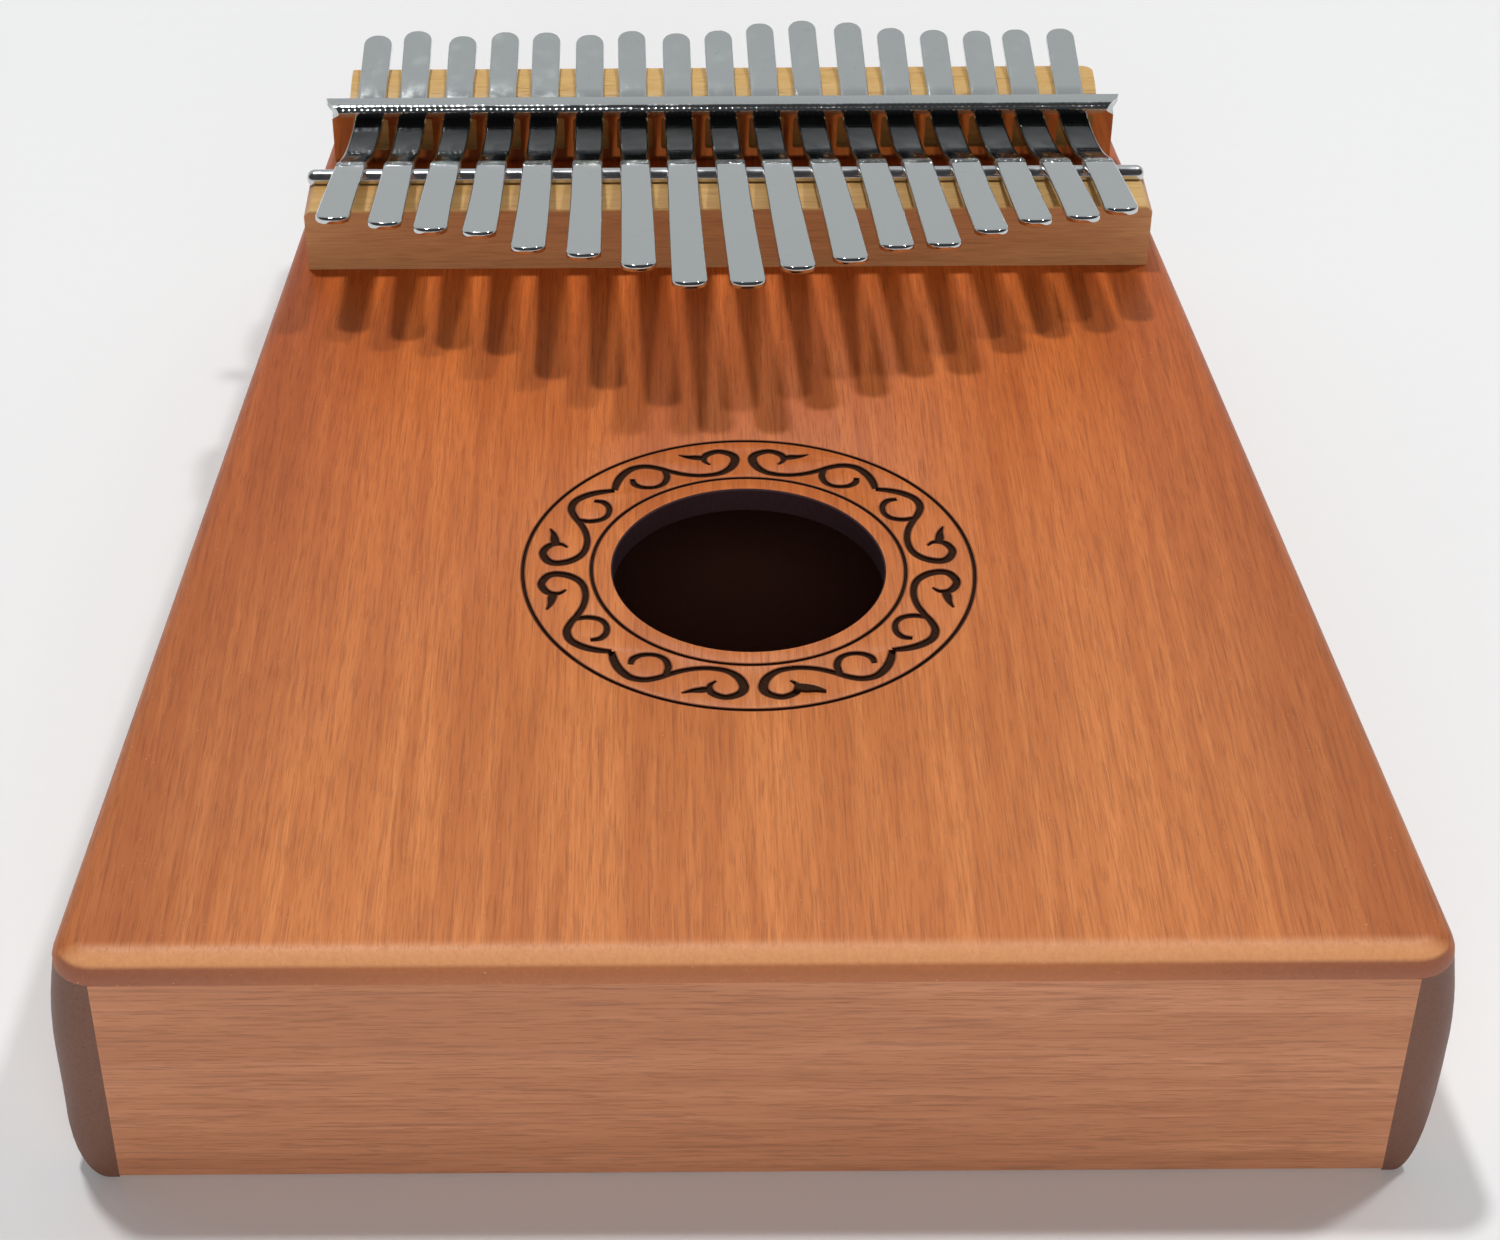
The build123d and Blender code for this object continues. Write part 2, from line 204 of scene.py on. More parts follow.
class Shader:
    """A material's nodes, with short ways to add and join them."""

    def __init__(self, name):
        self.material = bpy.data.materials.new(name)
        self.material.use_nodes = True
        self.nodes = self.material.node_tree.nodes
        self.links = self.material.node_tree.links
        self.surface = self.nodes["Principled BSDF"]
        coordinates = self.nodes.new("ShaderNodeTexCoord")
        self.place = coordinates.outputs["Object"]
        self.facing = coordinates.outputs["Normal"]
        parts = self.nodes.new("ShaderNodeSeparateXYZ")
        self.links.new(self.place, parts.inputs[0])
        self.x, self.y, self.z = parts.outputs

    def feed(self, socket, value):
        """Joins an output to a socket, or sets the socket to a plain value."""
        if isinstance(value, bpy.types.NodeSocket):
            self.links.new(value, socket)
        elif isinstance(value, tuple) and len(value) == 3 and socket.type == "RGBA":
            socket.default_value = (*value, 1.0)
        else:
            socket.default_value = value

    def set(self, **inputs):
        """Sets the surface's own sockets, by name with _ for spaces."""
        for name, value in inputs.items():
            self.feed(self.surface.inputs[name.replace("_", " ")], value)

    def stretched(self, grain, share, grain_slant=0.0):
        """Object coordinates squeezed along one axis, so that a texture runs along the grain.

        grain_slant turns the grain a few degrees about Z.
        """
        mapping = self.nodes.new("ShaderNodeMapping")
        scale = [1.0, 1.0, 1.0]
        scale["XYZ".index(grain)] = share
        mapping.inputs["Scale"].default_value = scale
        mapping.inputs["Rotation"].default_value = (0.0, 0.0, math.radians(grain_slant))
        self.links.new(self.place, mapping.inputs["Vector"])
        return mapping.outputs["Vector"]

    def noise(self, size, vector=None, detail=2.0, roughness=0.5, distortion=0.0):
        """Smooth noise whose features are about size millimetres across."""
        texture = self.nodes.new("ShaderNodeTexNoise")
        self.links.new(self.place if vector is None else vector, texture.inputs["Vector"])
        texture.inputs["Scale"].default_value = 1 / (size * MM)
        texture.inputs["Detail"].default_value = detail
        texture.inputs["Roughness"].default_value = roughness
        texture.inputs["Distortion"].default_value = distortion
        return texture.outputs["Fac"]

    def span(self, value, low, high, to_low=0.0, to_high=1.0):
        """Maps low..high of a value to another range, clamped."""
        node = self.nodes.new("ShaderNodeMapRange")
        node.interpolation_type = "SMOOTHSTEP"
        self.feed(node.inputs["Value"], value)
        node.inputs["From Min"].default_value = low
        node.inputs["From Max"].default_value = high
        node.inputs["To Min"].default_value = to_low
        node.inputs["To Max"].default_value = to_high
        return node.outputs["Result"]

    def sum(self, operation, first, second=0.0):
        """One arithmetic step."""
        node = self.nodes.new("ShaderNodeMath")
        node.operation = operation
        self.feed(node.inputs[0], first)
        self.feed(node.inputs[1], second)
        return node.outputs[0]

    def mix(self, share, first, second, blend="MIX"):
        """Mixes two colours."""
        node = self.nodes.new("ShaderNodeMix")
        node.data_type = "RGBA"
        node.blend_type = blend
        self.feed(node.inputs[0], share)
        self.feed(node.inputs[6], first)
        self.feed(node.inputs[7], second)
        return node.outputs[2]

    def bump(self, height, depth, normal=None):
        """Surface relief; depth is its size in millimetres."""
        node = self.nodes.new("ShaderNodeBump")
        node.inputs["Distance"].default_value = depth * MM
        self.links.new(height, node.inputs["Height"])
        if normal is not None:
            self.links.new(normal, node.inputs["Normal"])
        return node.outputs["Normal"]


def grown(shader, grain, light, dark, pore, figure=0.5, pores=0.62, depth=0.6, slant=0.0, streaky=0.0):
    """Colour of a piece of wood: broad figure, fibres and fine dark pores along its grain.

    pores is how rare the pores are, and depth how dark; slant turns the grain, in degrees; streaky is the
    strength of the long soft streaks between the pores.
    """
    broad = shader.noise(14.0, shader.stretched(grain, 0.08, slant), 3.0, 0.55)
    streaks = shader.noise(1.5, shader.stretched(grain, 0.03, slant), 4.0, 0.6)
    fibres = shader.noise(0.20, shader.stretched(grain, 0.04, slant), 3.0, 0.6)
    vessels = shader.noise(0.15, shader.stretched(grain, 0.035, slant), 2.0, 0.5)
    threads = shader.noise(0.42, shader.stretched(grain, 0.03, slant), 3.0, 0.62)
    tone = shader.sum("ADD", shader.sum("MULTIPLY", broad, 0.5), shader.sum("MULTIPLY", streaks, 0.5))
    tone = shader.span(tone, 0.5 - figure / 4, 0.5 + figure / 4)
    colour = shader.mix(tone, light, dark)
    fibre_share = shader.span(fibres, 0.35, 0.68, 0.0, 0.5)
    colour = shader.mix(fibre_share, colour, dark)
    colour = shader.mix(shader.span(threads, 0.46, 0.70, 0.0, streaky), colour, pore)
    vessel_share = shader.span(vessels, pores, pores + 0.1, 0.0, depth)
    colour = shader.mix(vessel_share, colour, pore)
    height = shader.sum("SUBTRACT", shader.sum("MULTIPLY", fibres, 0.4), vessel_share)
    return colour, height, tone


def finish_wood(shader, colour, height, roughness=0.46, relief=0.05):
    """Satin lacquer over the wood, with the grain telegraphing through."""
    grain_rough = shader.span(height, -0.6, 0.4, roughness + 0.14, roughness - 0.03)
    shader.set(
        Base_Color=colour,
        Roughness=grain_rough,
        Normal=shader.bump(height, relief),
        Specular_IOR_Level=0.35,
    )
    return shader.material


# ======== materials ========

def top_wood():
    """The plate: orange-brown mahogany, grain along the body, darker towards the long edges, with painted
    shade towards the bridge, painted light and shade on the near edge, and painted glints.
    """
    shader = Shader("top_wood")
    light = (0.79, 0.27, 0.075)
    dark = (0.58, 0.167, 0.038)
    pore = (0.30, 0.075, 0.02)
    slant = 1.6
    colour, height, tone = grown(shader, "Y", light, dark, pore, 0.5, 0.56, 0.30, slant, streaky=0.42)
    # painted shade and sheen: the plate is painted darker and redder towards the bridge, standing in for the
    # bridge's shade there and for the lacquer's sheen nearer the player
    bridge_shade = shader.span(shader.y, -75 * MM, 30 * MM)
    shaded = shader.mix(1.0, colour, (0.93, 0.70, 0.44), "MULTIPLY")
    colour = shader.mix(bridge_shade, colour, shaded)
    reach = shader.sum("ADD", shader.sum("ABSOLUTE", shader.x), shader.sum("MULTIPLY", shader.y, side_taper))
    middle = (near_half_width + far_half_width) / 2 * MM
    edge = shader.span(reach, middle - 24 * MM, middle - 1 * MM, 0.0, 0.6)
    edge_colour = shader.mix(1.0, colour, (0.66, 0.54, 0.38), "MULTIPLY")
    colour = shader.mix(edge, colour, edge_colour)
    # painted light and shade on the near edge's roundover: its end-grain speckle is real, but its upper band
    # is painted lighter where it faces up, and its lower strip painted darker as shade, darkest towards the
    # corners
    near = shader.span(shader.y, (near_y + 1.2) * MM, (near_y + 3.4) * MM, 1.0, 0.0)
    dots = shader.noise(0.5, shader.stretched("Y", 0.35, slant), 4.0, 0.7)
    lit_rim = shader.mix(dots, (0.90, 0.43, 0.19), (0.68, 0.27, 0.108))
    shaded_rim = shader.mix(dots, (0.57, 0.20, 0.082), (0.43, 0.147, 0.056))
    outward = shader.span(shader.sum("ABSOLUTE", shader.x), 25 * MM, 66 * MM)
    shaded_rim_ends = shader.mix(1.0, shaded_rim, (0.72, 0.72, 0.95), "MULTIPLY")
    shaded_rim = shader.mix(outward, shaded_rim, shaded_rim_ends)
    lower = shader.span(shader.z, (frame_top + 1.6) * MM, (frame_top + 2.05) * MM, 1.0, 0.0)
    colour = shader.mix(near, colour, shader.mix(lower, lit_rim, shaded_rim))
    # painted glints: small pale specks over the lacquer
    glint_speck = shader.span(shader.noise(0.3, detail=0.0), 0.82, 0.85, 0.0, 0.4)
    colour = shader.mix(glint_speck, colour, (0.75, 0.45, 0.28))
    return finish_wood(shader, colour, height)


def side_wood():
    """The long walls: grain along the body, and dark end grain where they meet the ends."""
    shader = Shader("side_wood")
    light = (0.44, 0.185, 0.085)
    dark = (0.34, 0.13, 0.058)
    pore = (0.14, 0.05, 0.026)
    colour, height, tone = grown(shader, "Y", light, dark, pore)
    turned = body_corner_radius
    near_end = shader.span(shader.y, (near_y + turned * 0.7) * MM, (near_y + turned) * MM, 1.0, 0.0)
    far_end = shader.span(shader.y, (far_y - turned) * MM, (far_y - turned * 0.7) * MM, 0.0, 1.0)
    ends = shader.sum("MAXIMUM", near_end, far_end)
    dots = shader.noise(0.3, detail=3.0)
    end_colour = shader.mix(dots, (0.15, 0.064, 0.042), (0.22, 0.10, 0.064))
    colour = shader.mix(ends, colour, end_colour)
    return finish_wood(shader, colour, height, 0.5)


def end_wood():
    """The end walls: grain across the body."""
    shader = Shader("end_wood")
    light = (0.71, 0.315, 0.167)
    dark = (0.53, 0.215, 0.105)
    pore = (0.30, 0.12, 0.062)
    colour, height, tone = grown(shader, "X", light, dark, pore, 0.6, 0.56, 0.35, streaky=0.40)
    return finish_wood(shader, colour, height, 0.5)


def back_wood():
    """The back plate: lacquered outside, and much darker on its inside face."""
    shader = Shader("back_wood")
    light = (0.54, 0.24, 0.13)
    dark = (0.42, 0.17, 0.085)
    pore = (0.2, 0.08, 0.045)
    colour, height, tone = grown(shader, "Y", light, dark, pore)
    inside = shader.span(shader.z, (back_top - 0.3) * MM, (back_top - 0.1) * MM)
    colour = shader.mix(inside, colour, (0.20, 0.078, 0.052))
    return finish_wood(shader, colour, height, 0.55)


def bridge_wood():
    """Pale yellow hardwood of the rear bridge, grain along it."""
    shader = Shader("bridge_wood")
    light = (0.76, 0.50, 0.185)
    dark = (0.62, 0.35, 0.10)
    pore = (0.34, 0.15, 0.045)
    colour, height, tone = grown(shader, "X", light, dark, pore, figure=0.7)
    return finish_wood(shader, colour, height, 0.42)


def stained_bridge_wood():
    """The front bridge: the same pale wood on top, its other faces stained like the body."""
    shader = Shader("stained_bridge_wood")
    light = (0.76, 0.50, 0.20)
    dark = (0.58, 0.31, 0.09)
    pore = (0.30, 0.13, 0.04)
    pale, height, tone = grown(shader, "X", light, dark, pore, figure=0.7)
    stain = shader.mix(tone, (0.66, 0.345, 0.155), (0.55, 0.27, 0.118))
    lines = shader.noise(0.22, shader.stretched("X", 0.05), 2.0)
    line = shader.span(lines, 0.42, 0.68, 0.0, 0.4)
    stain = shader.mix(line, stain, (0.40, 0.18, 0.075))
    stain_line = front_bridge_top - 0.3
    top = shader.span(shader.z, (stain_line - 0.04) * MM, (stain_line + 0.04) * MM)
    colour = shader.mix(top, stain, pale)
    return finish_wood(shader, colour, height, 0.45)


def inner_wood():
    """The block inside, bare and dark in the shade."""
    shader = Shader("inner_wood")
    light = (0.40, 0.26, 0.14)
    dark = (0.30, 0.18, 0.09)
    pore = (0.15, 0.08, 0.04)
    colour, height, tone = grown(shader, "X", light, dark, pore)
    return finish_wood(shader, colour, height, 0.7)


def burnt_wood():
    """Walls and floors of the engraving and of the sound hole, charred by the cut."""
    shader = Shader("burnt_wood")
    char = shader.noise(0.35, shader.stretched("Z", 0.4), 3.0)
    colour = shader.mix(char, (0.014, 0.006, 0.003), (0.055, 0.021, 0.010))
    shader.set(Base_Color=colour, Roughness=0.9, Normal=shader.bump(char, 0.06), Specular_IOR_Level=0.1)
    return shader.material


def scorched_wood():
    """The brown halo along the engraving, where the wood was only singed."""
    shader = Shader("scorched_wood")
    singe = shader.noise(0.3, detail=3.0)
    colour = shader.mix(singe, (0.16, 0.045, 0.018), (0.34, 0.10, 0.032))
    shader.set(Base_Color=colour, Roughness=0.7, Specular_IOR_Level=0.25)
    return shader.material


def hole_wall():
    """The sound hole's wall: stained a dark purplish brown."""
    shader = Shader("hole_wall")
    char = shader.noise(0.25, shader.stretched("Z", 0.25), 3.0)
    colour = shader.mix(char, (0.036, 0.017, 0.021), (0.07, 0.034, 0.038))
    shader.set(Base_Color=colour, Roughness=0.7, Normal=shader.bump(char, 0.05), Specular_IOR_Level=0.25)
    return shader.material


def plated(name, colour, roughness=0.09, ripple=0.004, band=None, shade_span=None):
    """Bright plating over steel: faint ripples and scuffs, and dimples where it was bent.

    band is (y, reach, lowest z, dimple size, dimple depth, share along Y and Z), in millimetres: a share
    below one draws the dimples out into ridges. shade_span is (first y, last y) of a stretch whose flat top
    is painted nearly black between its edges: a painted reflection of the dark surroundings there.
    """
    shader = Shader(name)
    scuff = shader.noise(3.0, detail=4.0)
    hair = shader.noise(0.12, shader.stretched("Y", 0.02), 2.0)
    rough = shader.span(scuff, 0.35, 0.75, roughness - 0.03, roughness + 0.09)
    rough = shader.sum("ADD", rough, shader.span(hair, 0.6, 0.8, 0.0, 0.08))
    peel = shader.noise(1.6, detail=2.0)
    normal = shader.bump(peel, ripple)
    if band is not None:
        band_y, reach, floor, size, depth, ridge = band
        away = shader.sum("ABSOLUTE", shader.sum("SUBTRACT", shader.y, band_y * MM))
        share = shader.span(away, 0.6 * reach * MM, reach * MM, 1.0, 0.0)
        above = shader.span(shader.z, floor * MM, (floor + 0.25) * MM)
        share = shader.sum("MULTIPLY", share, above)
        drawn = shader.nodes.new("ShaderNodeMapping")
        drawn.inputs["Scale"].default_value = (1.0, ridge, ridge)
        shader.links.new(shader.place, drawn.inputs["Vector"])
        dimples = shader.noise(size, drawn.outputs["Vector"], detail=1.0)
        normal = shader.bump(shader.sum("MULTIPLY", dimples, share), depth, normal)
    grime = shader.span(shader.noise(1.1, detail=3.0), 0.6, 0.8, 0.0, 0.25)
    tint = shader.mix(grime, colour, tuple(c * 0.72 for c in colour))
    # painted reflection: the flat top of the shade_span stretch is painted nearly black, standing in for the
    # dark things the bent steel mirrors there
    if shade_span is not None:
        first_y, last_y = shade_span
        started = shader.span(shader.y, first_y * MM, (first_y + 0.7) * MM)
        lasting = shader.span(shader.y, (last_y - 0.3) * MM, last_y * MM, 1.0, 0.0)
        upward = shader.nodes.new("ShaderNodeSeparateXYZ")
        shader.links.new(shader.facing, upward.inputs[0])
        flat = shader.span(upward.outputs["Z"], 0.70, 0.86)
        cloud = shader.span(shader.noise(1.8, detail=2.0), 0.3, 0.7, 0.97, 0.995)
        stretch = shader.sum("MULTIPLY", started, lasting)
        dark = shader.sum("MULTIPLY", stretch, shader.sum("MULTIPLY", flat, cloud))
        tint = shader.mix(dark, tint, (0.012, 0.012, 0.013))
    shader.set(Base_Color=tint, Metallic=1.0, Roughness=rough, Normal=normal)
    return shader.material


def screw_steel():
    """Zinc-plated screws, duller than the chrome."""
    shader = Shader("screw_steel")
    worn = shader.noise(0.6, detail=4.0)
    colour = shader.mix(worn, (0.42, 0.42, 0.40), (0.58, 0.57, 0.53))
    rough = shader.span(worn, 0.3, 0.7, 0.26, 0.42)
    shader.set(Base_Color=colour, Metallic=1.0, Roughness=rough, Normal=shader.bump(worn, 0.01))
    return shader.material


def floor_paint():
    """The pale sweep under the instrument."""
    shader = Shader("floor_paint")
    speckle = shader.noise(3.0, detail=3.0)
    colour = shader.mix(speckle, (0.95, 0.95, 0.95), (0.97, 0.97, 0.97))
    shader.set(Base_Color=colour, Roughness=0.9, Specular_IOR_Level=0.1)
    return shader.material


# ======== mesh helpers ========

def make_object(name, points, faces, materials):
    """A mesh object from points in millimetres, shaded smooth except at real corners."""
    mesh = bpy.data.meshes.new(name)
    mesh.from_pydata([Vector(point) * MM for point in points], [], faces)
    mesh.validate()
    for material in materials:
        mesh.materials.append(material)
    made = bpy.data.objects.new(name, mesh)
    bpy.context.scene.collection.objects.link(made)
    turn_faces_out(mesh)
    shade(mesh)
    return made


def turn_faces_out(mesh):
    """Makes every face's normal point outwards."""
    work = bmesh.new()
    work.from_mesh(mesh)
    bmesh.ops.recalc_face_normals(work, faces=work.faces)
    work.to_mesh(mesh)
    work.free()


def shade(mesh, corner=34.0):
    """Smooth shading, with edges sharper than corner degrees left crisp."""
    mesh.shade_smooth()
    mesh.set_sharp_from_angle(angle=math.radians(corner))


def loft(loops):
    """Points and faces of a closed skin through closed loops of equal length, capped with flat polygons."""
    points = [point for loop in loops for point in loop]
    count = len(loops[0])
    faces = []
    for row in range(len(loops) - 1):
        for step in range(count):
            following = (step + 1) % count
            low = row * count
            high = low + count
            faces.append((low + step, low + following, high + following, high + step))
    faces.append(tuple(reversed(range(count))))
    faces.append(tuple(range(len(points) - count, len(points))))
    return points, faces


def cut(target, cutters, crossing=False):
    """Takes the cutters out of the target for good; crossing says that a cutter's own pieces overlap."""
    for cutter in cutters:
        modifier = target.modifiers.new("cut", "BOOLEAN")
        modifier.object = cutter
        modifier.operation = "DIFFERENCE"
        modifier.solver = "EXACT"
        modifier.use_self = crossing
        modifier.material_mode = "TRANSFER"
        bpy.context.view_layer.update()
        ready = target.evaluated_get(bpy.context.evaluated_depsgraph_get())
        mesh = bpy.data.meshes.new_from_object(ready)
        target.modifiers.clear()
        target.data = mesh
        bpy.data.objects.remove(cutter)
    shade(target.data)


# ======== carved top plate ========

def half_width(y):
    """Half the body's width at a place along its length."""
    return near_half_width - side_taper * (y - near_y)


def body_outline(inset, height):
    """The body's tapered outline, rounded at its corners, set in and at a height."""
    lean = math.atan(side_taper)
    radius = max(body_corner_radius - inset, 0.02)
    offset = inset + radius
    steps = 8
    loop = []
    quarters = [(near_y, 1, -90.0, math.degrees(lean)), (far_y, 1, math.degrees(lean), 90.0)]
    quarters += [(end_y, -1, 180 - last, 180 - first) for end_y, side, first, last in reversed(quarters)]
    for end_y, side, first, last in quarters:
        towards_middle = 1 if end_y == near_y else -1
        centre_y = end_y + towards_middle * offset
        centre_x = side * (half_width(centre_y) - offset / math.cos(lean))
        for step in range(steps + 1):
            angle = math.radians(first + (last - first) * step / steps)
            x = centre_x + radius * math.cos(angle)
            y = centre_y + radius * math.sin(angle)
            loop.append((x, y, height))
    return loop


def blank_plate(material):
    """The plate before carving: rounded over all round its top."""
    steps = 12
    loops = [body_outline(0, frame_top)]
    for step in range(steps + 1):
        angle = math.radians(90.0 * step / steps)
        inset = top_edge_radius * (1 - math.cos(angle))
        loops.append(body_outline(inset, body_top - top_edge_radius * (1 - math.sin(angle))))
    flat_margin = 0.3
    loops.append(body_outline(top_edge_radius + flat_margin, body_top))
    return make_object("carved_top_plate", *loft(loops), [material])


def turned_cutter(name, material, centre, profile, steps=96):
    """A round cutter turned about a vertical axis, from its (radius, height) profile."""
    loops = []
    for radius, height in profile:
        ring = []
        for step in range(steps):
            angle = 2 * math.pi * step / steps
            x = centre[0] + radius * math.cos(angle)
            y = centre[1] + radius * math.sin(angle)
            ring.append((x, y, height))
        loops.append(ring)
    return make_object(name, *loft(loops), [material])


def ring_cutter(name, material, radius, width, depth, steps=160):
    """A cutter for one engraved ring: a square groove with sides that lean in."""
    floor = body_top - depth
    above = body_top + depth
    half = width / 2
    low_half = half * 0.7
    section = (
        (radius - half, above),
        (radius + half, above),
        (radius + low_half, floor),
        (radius - low_half, floor),
    )
    points = []
    faces = []
    count = len(section)
    for step in range(steps):
        angle = 2 * math.pi * step / steps
        for distance, height in section:
            x = hole_x + distance * math.cos(angle)
            y = hole_y + distance * math.sin(angle)
            points.append((x, y, height))
        for side in range(count):
            here = step * count
            there = ((step + 1) % steps) * count
            faces.append((here + side, here + (side + 1) % count, there + (side + 1) % count, there + side))
    return make_object(name, points, faces, [material])


# One arm of the engraved scrollwork, as (x, y, stroke width) from the hole's centre: a hook beside
# the +Y axis that runs out along the ring and ends in a cusp on the diagonal, a curl and a leaf.
scroll_arm = (
    (3.9, 20.1, 0.15), (4.6, 20.9, 0.5), (4.4, 22.1, 0.75), (3.0, 22.85, 0.75), (1.5, 22.3, 0.85),
    (1.0, 21.2, 0.9), (1.5, 19.6, 0.85), (2.8, 18.4, 0.7), (4.8, 17.95, 0.62), (6.8, 18.15, 0.62),
    (8.6, 18.8, 0.66), (10.0, 19.5, 0.7), (11.5, 19.85, 0.75), (13.0, 19.4, 0.8), (14.1, 18.1, 0.86),
    (14.7, 16.6, 0.8), (15.0, 15.0, 0.6),
)
scroll_curl = (
    (9.2, 18.9, 0.6), (8.95, 17.7, 0.66), (9.3, 16.4, 0.62), (10.3, 15.65, 0.55), (11.7, 15.6, 0.6),
    (12.7, 16.25, 0.66), (12.95, 17.3, 0.45),
)
stroke_gain = 1.25
scroll_leaf = ((4.3, 21.4, 0.7), (5.4, 21.6, 0.85), (6.5, 21.75, 0.55), (7.6, 22.15, 0.1))


def blended_value(before, start, end, after, t):
    """One coordinate of a Catmull-Rom spline, t of the way from start to end."""
    second = 2 * before - 5 * start + 4 * end - after
    third = 3 * start - before - 3 * end + after
    return 0.5 * (2 * start + (end - before) * t + second * t**2 + third * t**3)


def smooth_stroke(nodes, steps=5):
    """Points of a smooth curve through the nodes (a Catmull-Rom spline), widths included."""
    ends = [nodes[0], *nodes, nodes[-1]]
    curve = []
    for before, start, end, after in zip(ends, ends[1:], ends[2:], ends[3:]):
        for step in range(steps):
            t = step / steps
            curve.append(tuple(
                blended_value(a, b, c, d, t)
                for a, b, c, d in zip(before, start, end, after)
            ))
    curve.append(tuple(nodes[-1]))
    return curve


def stroke_skin(nodes, mirror_x, mirror_y, swapped, margin, depth):
    """Points and faces of one groove's cutter, a ribbon of changing width, placed round the hole."""
    curve = smooth_stroke(nodes)
    points = []
    faces = []
    last = len(curve) - 1
    for index, (x, y, width) in enumerate(curve):
        before = Vector(curve[max(index - 1, 0)][:2])
        after = Vector(curve[min(index + 1, last)][:2])
        forward = (after - before).normalized()
        left = Vector((-forward.y, forward.x)) * (width * stroke_gain / 2 + margin)
        corners_round = ((1, depth, 1.0), (-1, depth, 1.0), (-1, -depth, 0.8), (1, -depth, 0.8))
        for side, height, share in corners_round:
            spot = Vector((x, y)) + left * side * share
            if swapped:
                spot = spot.yx
            placed = (hole_x + spot.x * mirror_x, hole_y + spot.y * mirror_y)
            points.append((*placed, body_top + height))
        if index:
            here = index * 4
            for corner in range(4):
                following = (corner + 1) % 4
                faces.append((here - 4 + corner, here - 4 + following, here + following, here + corner))
    faces.append((0, 1, 2, 3))
    faces.append((last * 4 + 3, last * 4 + 2, last * 4 + 1, last * 4))
    return points, faces


def scroll_cutter(name, material, nodes, margin, depth):
    """The same groove eight times round the hole, mirrored from quarter to quarter."""
    points = []
    faces = []
    for mirror_x in (1, -1):
        for mirror_y in (1, -1):
            for swapped in (False, True):
                more, skin = stroke_skin(nodes, mirror_x, mirror_y, swapped, margin, depth)
                faces += [tuple(corner + len(points) for corner in face) for face in skin]
                points += more
    return make_object(name, points, faces, [material])


def make_top_plate(wood, burnt, scorched, wall):
    """The top plate with its sound hole, screw holes, rings and scrollwork cut in."""
    plate = blank_plate(wood)
    below = frame_top - 1
    above = body_top + 1
    flare = sound_hole_chamfer + 1
    hole = (
        (sound_hole_radius, below),
        (sound_hole_radius, body_top - sound_hole_chamfer),
        (sound_hole_radius + flare, above),
    )
    cutters = [turned_cutter("hole_cutter", wall, (hole_x, hole_y), hole)]
    for x in screw_places:
        bore = ((screw_hole_radius, below), (screw_hole_radius, above))
        cutters.append(turned_cutter("bore_cutter", burnt, (x, screw_y), bore, 24))
    for radius in ring_radii:
        cutters.append(ring_cutter("ring_halo", scorched, radius, ring_width + scorch_width, scorch_depth))
        cutters.append(ring_cutter("ring_cutter", burnt, radius, ring_width, engraving_depth))
    cut(plate, cutters)
    strokes = (scroll_arm, scroll_curl, scroll_leaf)
    margin = scorch_width / 2
    halos = [scroll_cutter("scroll_halo", scorched, nodes, margin, scorch_depth) for nodes in strokes]
    grooves = [scroll_cutter("scroll_cutter", burnt, nodes, 0.0, engraving_depth) for nodes in strokes]
    cut(plate, halos + grooves, crossing=True)
    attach(plate, "box")
    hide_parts("top_plate")


# ======== pressed bracket ========

def arc(centre, radius, first, last, steps):
    """Points along an arc, angles in degrees."""
    spots = []
    for step in range(steps + 1):
        angle = math.radians(first + (last - first) * step / steps)
        spots.append((centre[0] + radius * math.cos(angle), centre[1] + radius * math.sin(angle)))
    return spots


def sheet_section():
    """The bent sheet's (y, z) outline: outer skin from the foot up over the lip, then back inside."""
    outer = bracket_bend + sheet_thickness
    edge = 0.12
    foot_step = 0.4
    bend_step = 0.3
    low_margin = 0.2
    high_margin = 0.1
    front = bracket_low.y
    back = bracket_high.y
    floor = bracket_low.z
    top = bracket_high.z
    lip_back = front + bracket_lip
    spots = [(back, floor), (back - foot_step, floor), (front + outer + bend_step, floor)]
    spots += arc((front + outer, floor + outer), outer, 270, 180, 10)
    spots += [(front, floor + outer + bend_step), (front, floor + window_low - low_margin)]
    spots += [(front, floor + window_high + high_margin)]
    spots += arc((front + outer, top - outer), outer, 180, 90, 36)
    spots += [(front + outer + bend_step, top)]
    spots += arc((lip_back - edge, top - edge), edge, 90, 0, 3)
    spots += arc((lip_back - edge, top - sheet_thickness + edge), edge, 0, -90, 3)
    inner = front + sheet_thickness
    spots += arc((inner + bracket_bend, top - outer), bracket_bend, 90, 180, 4)
    spots += [(inner, floor + window_high + high_margin), (inner, floor + window_low - low_margin)]
    spots += arc((inner + bracket_bend, floor + outer), bracket_bend, 180, 270, 4)
    spots += [(back - foot_step, floor + sheet_thickness), (back, floor + sheet_thickness)]
    return spots


def lip_reach(y, z):
    """How far the sheet reaches sideways: less below the lip, and slanted at the lip's front corners."""
    full = bracket_high.x - bracket_x
    if z < bracket_high.z - sheet_thickness - bracket_bend:
        return full - bracket_lip_overhang
    cut_in = max(0.0, bracket_lip_slant - (y - bracket_low.y))
    return full - cut_in


